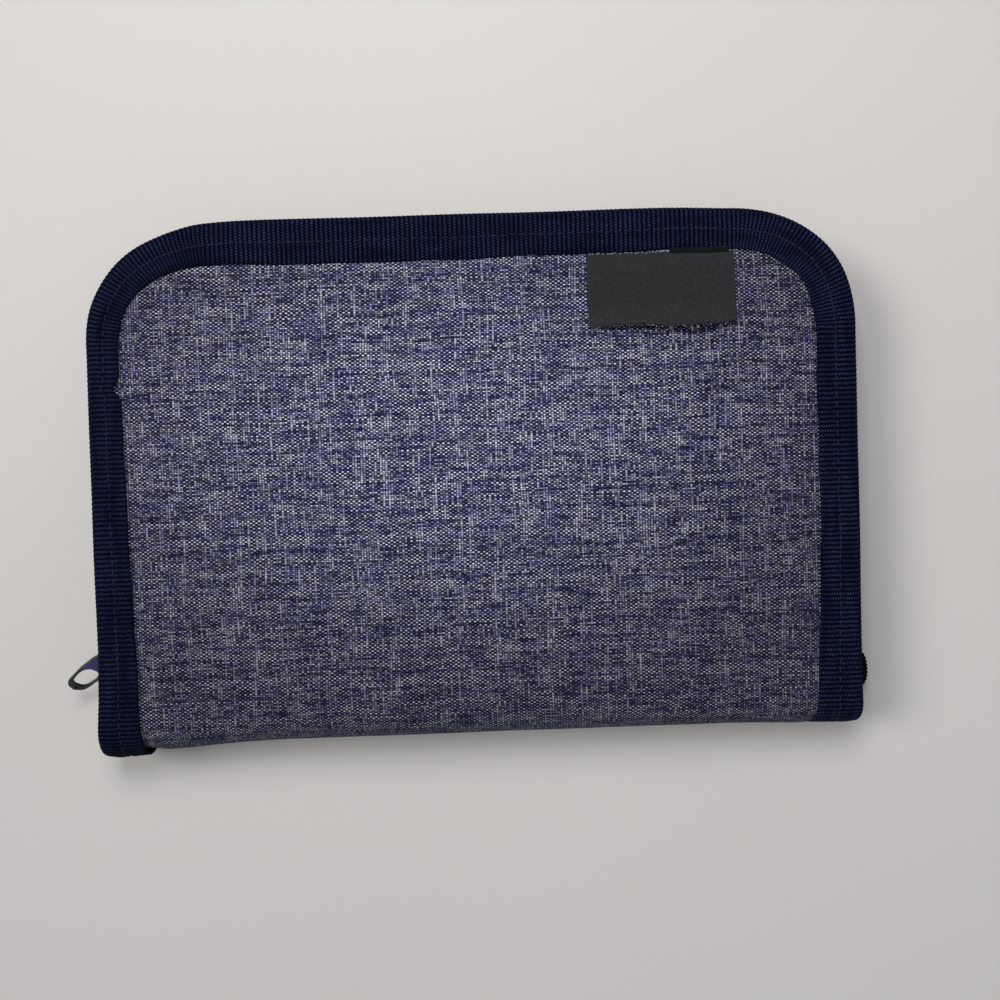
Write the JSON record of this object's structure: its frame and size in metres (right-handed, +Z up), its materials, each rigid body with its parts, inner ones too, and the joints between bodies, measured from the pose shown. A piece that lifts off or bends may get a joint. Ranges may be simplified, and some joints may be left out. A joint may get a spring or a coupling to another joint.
{
  "type": "travel document organizer",
  "caption": "Zip-around travel document organizer with padded heathered cloth covers, ribbed binding, soft folding spine, and inner pockets for passport, cards, tickets and a pen.",
  "frame": {"origin": "centre of the flat face of the back cover that the closed case rests on", "axes": "+X along the spine towards the fixed end of the zip, +Y from the spine to the top edge, +Z up through the closed case, from back cover to front cover"},
  "size_m": [0.2632, 0.166, 0.0248],
  "materials": {
    "heather_cloth": "matte heathered plain weave",
    "lining_cloth": "matte fine plain weave",
    "binding_tape": "matte ribbed grosgrain",
    "pocket_cloth": "matte plain weave",
    "label_cloth": "matte twill",
    "black_webbing": "matte coarse weave",
    "black_elastic": "matte ribbed elastic",
    "zip_tape": "matte herringbone tape",
    "zip_coil": "satin nylon",
    "foam": "matte foam board",
    "zip_metal": "satin, crimped",
    "slider_paint": "satin paint",
    "pull_paint": "satin paint, worn edges"
  },
  "bodies": {
    "back": {"back_shell": "heather_cloth", "back_foam_board": "foam", "back_lining": "lining_cloth", "back_edge_binding": "binding_tape", "back_zip_tape": "zip_tape", "back_zip_teeth": "zip_coil", "back_zip_stop": "zip_metal", "zip_bottom_stop": "zip_metal", "zip_end_tab": "black_webbing", "passport_pocket": "pocket_cloth", "passport_gusset": "lining_cloth", "card_slot_upper": "pocket_cloth", "card_slot_middle": "pocket_cloth", "card_slot_lower": "pocket_cloth", "card_slot_trim": "lining_cloth"},
    "spine": {"spine_shell": "heather_cloth", "spine_foam_board": "foam", "spine_lining": "lining_cloth", "spine_binding_left": "binding_tape", "spine_binding_right": "binding_tape", "pen_loop": "black_elastic"},
    "front": {"front_shell": "heather_cloth", "front_foam_board": "foam", "front_lining": "lining_cloth", "front_edge_binding": "binding_tape", "front_zip_tape": "zip_tape", "front_zip_teeth": "zip_coil", "front_zip_stop": "zip_metal", "label_tab": "label_cloth", "label_patch": "label_cloth", "zip_pocket_panel": "pocket_cloth", "zip_pocket_gusset": "lining_cloth", "zip_pocket_header": "lining_cloth", "pocket_zip_tape_lower": "zip_tape", "pocket_zip_tape_upper": "zip_tape", "pocket_zip_teeth": "zip_coil", "ticket_slip": "pocket_cloth", "ticket_slip_trim": "lining_cloth"},
    "zip_slider": {"zip_slider": "slider_paint"},
    "zip_pull": {"zip_pull": "pull_paint"},
    "pocket_zip_slider": {"pocket_zip_slider": "slider_paint"},
    "pocket_zip_pull": {"pocket_zip_pull": "pull_paint"}
  },
  "joints": [
    {"name": "spine_fold", "type": "hinge", "parent": "back", "child": "spine", "pos_m": [0, -0.0808, 0.0022], "axis": [1, 0, 0], "range_deg": [0, 90]},
    {"name": "cover_fold", "type": "hinge", "parent": "spine", "child": "front", "pos_m": [0, -0.0808, 0.0218], "axis": [1, 0, 0], "range_deg": [0, 90]},
    {"name": "zip_slide", "type": "slide", "parent": "back", "child": "zip_slider", "axis": [0, 1, 0], "range_m": [0, 0.086]},
    {"name": "zip_pull_swing", "type": "hinge", "parent": "zip_slider", "child": "zip_pull", "pos_m": [-0.1174, -0.05, 0.012], "axis": [0, 0, 1], "range_deg": [-95, 0]},
    {"name": "pocket_zip_slide", "type": "slide", "parent": "front", "child": "pocket_zip_slider", "axis": [1, 0, 0], "range_m": [0, 0.17]},
    {"name": "pocket_pull_swing", "type": "hinge", "parent": "pocket_zip_slider", "child": "pocket_zip_pull", "pos_m": [-0.088, 0.0484, 0.0129], "axis": [0, 1, 0], "range_deg": [0, 28]}
  ],
  "couplings": [
    {"joint": "cover_fold", "follows": "spine_fold", "ratio": 1}
  ]
}
